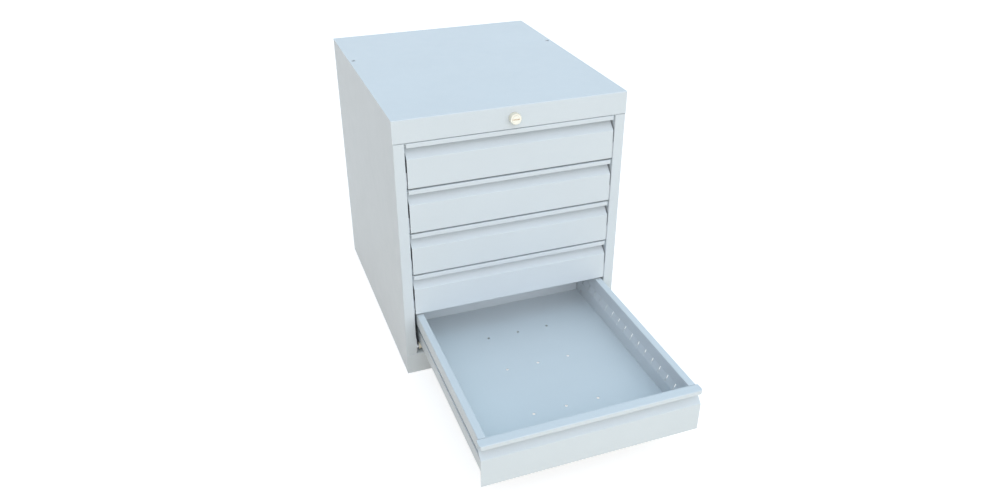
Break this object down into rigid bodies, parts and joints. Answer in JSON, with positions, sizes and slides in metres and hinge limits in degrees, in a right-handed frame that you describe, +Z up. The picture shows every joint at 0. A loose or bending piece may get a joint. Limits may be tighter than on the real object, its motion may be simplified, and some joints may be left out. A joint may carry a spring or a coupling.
{
  "type": "drawer unit",
  "caption": "Steel under-bench drawer cabinet with equal drawers on roller slides, full-width recessed lip grips, flush plinth and a central lock that lifts a locking bar.",
  "frame": {"origin": "middle of the cabinet's footprint, on the floor, at the underside of the base sheet", "axes": "+Z up, -Y out of the drawer fronts, +X to the right when facing the fronts"},
  "size_m": [0.5, 1.029, 0.6],
  "materials": {
    "cabinet_coat": "satin light grey powder coat",
    "drawer_coat": "satin light grey powder coat",
    "zinc_steel": "zinc plated",
    "nylon": "cream nylon",
    "black_rubber": "matt",
    "lock_metal": "satin nickel"
  },
  "bodies": {
    "cabinet": {"side_panel_right": "cabinet_coat", "side_panel_left": "cabinet_coat", "top_panel": "cabinet_coat", "back_panel": "cabinet_coat", "bottom_panel": "cabinet_coat", "plinth_front": "cabinet_coat", "upright_front_right": "cabinet_coat", "upright_front_left": "cabinet_coat", "upright_rear_right": "cabinet_coat", "upright_rear_left": "cabinet_coat", "cabinet_rail_rivets": "zinc_steel", "front_roller_studs": "zinc_steel", "drawer_bumpers": "black_rubber", "lock_body": "lock_metal", "lock_nut": "zinc_steel", "bar_guides": "nylon", "cabinet_rails_1": "zinc_steel", "cabinet_rails_2": "zinc_steel", "cabinet_rails_3": "zinc_steel", "cabinet_rails_4": "zinc_steel", "cabinet_rails_5": "zinc_steel"},
    "lock": {"lock_plug": "lock_metal", "lock_crank": "zinc_steel", "crank_screw": "zinc_steel"},
    "locking_bar": {"locking_bar": "zinc_steel"},
    "drawer_1": {"drawer_tray_1": "drawer_coat", "drawer_front_1": "drawer_coat", "drawer_rails_1": "drawer_coat", "drawer_hardware_1": "zinc_steel", "drawer_catch_1": "zinc_steel"},
    "front_rollers_1": {"front_rollers_1": "nylon"},
    "rear_rollers_1": {"rear_rollers_1": "nylon"},
    "drawer_2": {"drawer_tray_2": "drawer_coat", "drawer_front_2": "drawer_coat", "drawer_rails_2": "drawer_coat", "drawer_hardware_2": "zinc_steel", "drawer_catch_2": "zinc_steel"},
    "front_rollers_2": {"front_rollers_2": "nylon"},
    "rear_rollers_2": {"rear_rollers_2": "nylon"},
    "drawer_3": {"drawer_tray_3": "drawer_coat", "drawer_front_3": "drawer_coat", "drawer_rails_3": "drawer_coat", "drawer_hardware_3": "zinc_steel", "drawer_catch_3": "zinc_steel"},
    "front_rollers_3": {"front_rollers_3": "nylon"},
    "rear_rollers_3": {"rear_rollers_3": "nylon"},
    "drawer_4": {"drawer_tray_4": "drawer_coat", "drawer_front_4": "drawer_coat", "drawer_rails_4": "drawer_coat", "drawer_hardware_4": "zinc_steel", "drawer_catch_4": "zinc_steel"},
    "front_rollers_4": {"front_rollers_4": "nylon"},
    "rear_rollers_4": {"rear_rollers_4": "nylon"},
    "drawer_5": {"drawer_tray_5": "drawer_coat", "drawer_front_5": "drawer_coat", "drawer_rails_5": "drawer_coat", "drawer_hardware_5": "zinc_steel", "drawer_catch_5": "zinc_steel"},
    "front_rollers_5": {"front_rollers_5": "nylon"},
    "rear_rollers_5": {"rear_rollers_5": "nylon"}
  },
  "joints": [
    {"name": "lock_turn", "type": "hinge", "parent": "cabinet", "child": "lock", "pos_m": [0, -0.3, 0.575], "axis": [0, -1, 0], "range_deg": [0, 90]},
    {"name": "locking_bar_slide", "type": "slide", "parent": "cabinet", "child": "locking_bar", "axis": [0, 0, 1], "range_m": [0, 0.01202]},
    {"name": "drawer_1_slide", "type": "slide", "parent": "cabinet", "child": "drawer_1", "axis": [0, -1, 0], "range_m": [0, 0.429]},
    {"name": "front_rollers_1_spin", "type": "hinge", "parent": "cabinet", "child": "front_rollers_1", "pos_m": [0, -0.287, 0.4614], "axis": [1, 0, 0], "range_deg": [0, 3781.62]},
    {"name": "rear_rollers_1_spin", "type": "hinge", "parent": "drawer_1", "child": "rear_rollers_1", "pos_m": [0, 0.2, 0.4832], "axis": [1, 0, 0], "range_deg": [0, 3781.62]},
    {"name": "drawer_2_slide", "type": "slide", "parent": "cabinet", "child": "drawer_2", "axis": [0, -1, 0], "range_m": [0, 0.429]},
    {"name": "front_rollers_2_spin", "type": "hinge", "parent": "cabinet", "child": "front_rollers_2", "pos_m": [0, -0.287, 0.3614], "axis": [1, 0, 0], "range_deg": [0, 3781.62]},
    {"name": "rear_rollers_2_spin", "type": "hinge", "parent": "drawer_2", "child": "rear_rollers_2", "pos_m": [0, 0.2, 0.3832], "axis": [1, 0, 0], "range_deg": [0, 3781.62]},
    {"name": "drawer_3_slide", "type": "slide", "parent": "cabinet", "child": "drawer_3", "axis": [0, -1, 0], "range_m": [0, 0.429]},
    {"name": "front_rollers_3_spin", "type": "hinge", "parent": "cabinet", "child": "front_rollers_3", "pos_m": [0, -0.287, 0.2614], "axis": [1, 0, 0], "range_deg": [0, 3781.62]},
    {"name": "rear_rollers_3_spin", "type": "hinge", "parent": "drawer_3", "child": "rear_rollers_3", "pos_m": [0, 0.2, 0.2832], "axis": [1, 0, 0], "range_deg": [0, 3781.62]},
    {"name": "drawer_4_slide", "type": "slide", "parent": "cabinet", "child": "drawer_4", "axis": [0, -1, 0], "range_m": [0, 0.429]},
    {"name": "front_rollers_4_spin", "type": "hinge", "parent": "cabinet", "child": "front_rollers_4", "pos_m": [0, -0.287, 0.1614], "axis": [1, 0, 0], "range_deg": [0, 3781.62]},
    {"name": "rear_rollers_4_spin", "type": "hinge", "parent": "drawer_4", "child": "rear_rollers_4", "pos_m": [0, 0.2, 0.1832], "axis": [1, 0, 0], "range_deg": [0, 3781.62]},
    {"name": "drawer_5_slide", "type": "slide", "parent": "cabinet", "child": "drawer_5", "axis": [0, -1, 0], "range_m": [-0.429, 0]},
    {"name": "front_rollers_5_spin", "type": "hinge", "parent": "cabinet", "child": "front_rollers_5", "pos_m": [0, -0.287, 0.0614], "axis": [1, 0, 0], "range_deg": [-3781.62, 0]},
    {"name": "rear_rollers_5_spin", "type": "hinge", "parent": "drawer_5", "child": "rear_rollers_5", "pos_m": [0, -0.229, 0.0832], "axis": [1, 0, 0], "range_deg": [-3781.62, 0]}
  ],
  "couplings": [
    {"joint": "lock_turn", "follows": "locking_bar_slide", "rad_per_m": 130.67},
    {"joint": "front_rollers_1_spin", "follows": "drawer_1_slide", "rad_per_m": 153.85},
    {"joint": "rear_rollers_1_spin", "follows": "drawer_1_slide", "rad_per_m": 153.85},
    {"joint": "front_rollers_2_spin", "follows": "drawer_2_slide", "rad_per_m": 153.85},
    {"joint": "rear_rollers_2_spin", "follows": "drawer_2_slide", "rad_per_m": 153.85},
    {"joint": "front_rollers_3_spin", "follows": "drawer_3_slide", "rad_per_m": 153.85},
    {"joint": "rear_rollers_3_spin", "follows": "drawer_3_slide", "rad_per_m": 153.85},
    {"joint": "front_rollers_4_spin", "follows": "drawer_4_slide", "rad_per_m": 153.85},
    {"joint": "rear_rollers_4_spin", "follows": "drawer_4_slide", "rad_per_m": 153.85},
    {"joint": "front_rollers_5_spin", "follows": "drawer_5_slide", "rad_per_m": 153.85},
    {"joint": "rear_rollers_5_spin", "follows": "drawer_5_slide", "rad_per_m": 153.85}
  ]
}
